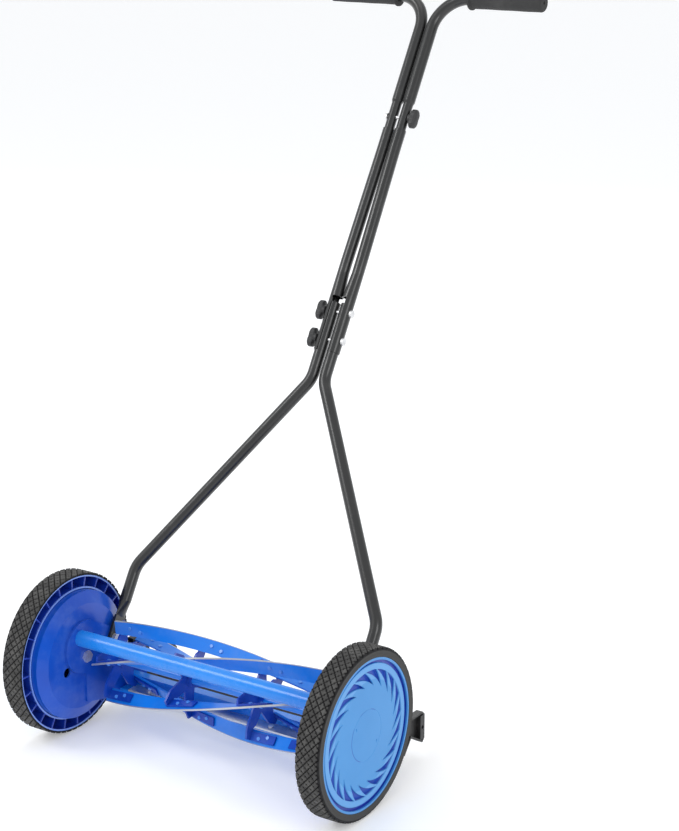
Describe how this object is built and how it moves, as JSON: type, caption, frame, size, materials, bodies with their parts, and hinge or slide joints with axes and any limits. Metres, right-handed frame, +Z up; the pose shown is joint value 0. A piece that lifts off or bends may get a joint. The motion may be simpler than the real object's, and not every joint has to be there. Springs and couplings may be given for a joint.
{
  "type": "push reel mower",
  "caption": "Manual push reel mower: two louvred wheels drive a helical blade reel past a fixed knife, with a rear roller and a forked tubular T-handle.",
  "frame": {"origin": "on the ground, under the middle of the whole mower's box", "axes": "+Z up, +X to the user's left (the wheels' common axle direction), +Y back towards the user, so the mower travels towards -Y"},
  "size_m": [0.573, 0.7898, 1.1083],
  "materials": {
    "tyre_rubber": "matt rubber with a criss-cross tread",
    "wheel_plastic": "moulded blue plastic, semi-gloss",
    "cover_plastic": "moulded blue plastic, semi-gloss",
    "plate_paint": "blue powder coat",
    "frame_paint": "blue powder coat, glossy",
    "reel_paint": "blue paint, semi-gloss",
    "knife_steel": "ground steel edge",
    "zinc_steel": "bright zinc plate",
    "bearing_bronze": "sintered bronze",
    "bush_nylon": "black nylon",
    "handle_paint": "black powder coat, satin",
    "grip_foam": "black foam rubber",
    "knob_plastic": "black moulded plastic",
    "roller_plastic": "black moulded plastic"
  },
  "bodies": {
    "chassis": {"side_plate_left": "plate_paint", "side_plate_right": "plate_paint", "reel_bearing_left": "bearing_bronze", "reel_bearing_right": "bearing_bronze", "axle_bolt_left": "zinc_steel", "axle_bolt_right": "zinc_steel", "axle_clips": "zinc_steel", "tie_bar": "frame_paint", "tie_bar_bolts": "zinc_steel", "bed_bar": "frame_paint", "bed_bar_bolts": "zinc_steel", "bed_knife": "knife_steel", "knife_screws": "zinc_steel", "bracket_bolts": "zinc_steel", "handle_pivot_bolts": "zinc_steel"},
    "wheel_left": {"tyre_left": "tyre_rubber", "wheel_left": "wheel_plastic", "hub_cover_left": "cover_plastic", "hub_bush_left": "bush_nylon"},
    "wheel_right": {"tyre_right": "tyre_rubber", "wheel_right": "wheel_plastic", "hub_cover_right": "cover_plastic", "hub_bush_right": "bush_nylon"},
    "pinion_left": {"pinion_left": "bush_nylon"},
    "pinion_right": {"pinion_right": "bush_nylon"},
    "reel": {"reel_shaft": "reel_paint", "reel_blade_1": "reel_paint", "reel_blade_2": "reel_paint", "reel_blade_3": "reel_paint", "reel_blade_4": "reel_paint", "reel_blade_5": "reel_paint", "reel_spider_1": "reel_paint", "reel_spider_2": "reel_paint", "reel_spider_3": "reel_paint", "reel_spider_4": "reel_paint", "blade_rivets": "reel_paint", "drive_pawls": "zinc_steel", "pinion_clips": "zinc_steel"},
    "height_frame": {"roller_bracket_left": "roller_plastic", "roller_bracket_right": "roller_plastic", "roller_axle": "zinc_steel", "roller_spacers": "bush_nylon"},
    "roller": {"roller": "roller_plastic", "roller_bushes": "bush_nylon"},
    "handle": {"lower_tube_left": "handle_paint", "lower_tube_right": "handle_paint", "middle_tube_left": "handle_paint", "middle_tube_right": "handle_paint", "upper_tube_left": "handle_paint", "upper_tube_right": "handle_paint", "grip_left": "grip_foam", "grip_right": "grip_foam", "lower_clamp_bolt": "zinc_steel", "middle_clamp_bolt": "zinc_steel", "upper_clamp_bolt": "zinc_steel"},
    "lower_knob": {"lower_knob": "knob_plastic"},
    "middle_knob": {"middle_knob": "knob_plastic"},
    "upper_knob": {"upper_knob": "knob_plastic"}
  },
  "joints": [
    {"name": "reel_spin", "type": "hinge", "parent": "chassis", "child": "reel", "pos_m": [0, -0.21715, 0.10853], "axis": [1, 0, 0], "continuous": true},
    {"name": "wheel_left_spin", "type": "hinge", "parent": "chassis", "child": "wheel_left", "pos_m": [0, -0.26789, 0.127], "axis": [1, 0, 0], "continuous": true},
    {"name": "wheel_right_spin", "type": "hinge", "parent": "chassis", "child": "wheel_right", "pos_m": [0, -0.26789, 0.127], "axis": [1, 0, 0], "continuous": true},
    {"name": "pinion_left_spin", "type": "hinge", "parent": "chassis", "child": "pinion_left", "pos_m": [0, -0.21715, 0.10853], "axis": [1, 0, 0], "continuous": true},
    {"name": "pinion_right_spin", "type": "hinge", "parent": "chassis", "child": "pinion_right", "pos_m": [0, -0.21715, 0.10853], "axis": [1, 0, 0], "continuous": true},
    {"name": "height_slide", "type": "slide", "parent": "chassis", "child": "height_frame", "axis": [0, 0, 1], "range_m": [-0.008, 0.018]},
    {"name": "roller_spin", "type": "hinge", "parent": "height_frame", "child": "roller", "pos_m": [0, -0.10289, 0.022], "axis": [1, 0, 0], "continuous": true},
    {"name": "handle_fold", "type": "hinge", "parent": "chassis", "child": "handle", "pos_m": [0, -0.20609, 0.1371], "axis": [1, 0, 0], "range_deg": [0, 36]},
    {"name": "lower_knob_turn", "type": "hinge", "parent": "handle", "child": "lower_knob", "pos_m": [0, 0.07051, 0.58919], "axis": [1, 0, 0], "range_deg": [0, 180]},
    {"name": "middle_knob_turn", "type": "hinge", "parent": "handle", "child": "middle_knob", "pos_m": [0, 0.09452, 0.62843], "axis": [1, 0, 0], "range_deg": [0, 180]},
    {"name": "upper_knob_turn", "type": "hinge", "parent": "handle", "child": "upper_knob", "pos_m": [0, 0.26727, 0.91078], "axis": [1, 0, 0], "range_deg": [0, 180]}
  ],
  "couplings": [
    {"joint": "wheel_left_spin", "follows": "reel_spin", "ratio": 0.20588},
    {"joint": "pinion_left_spin", "follows": "reel_spin", "ratio": 1},
    {"joint": "pinion_right_spin", "follows": "wheel_right_spin", "ratio": 4.8571}
  ]
}
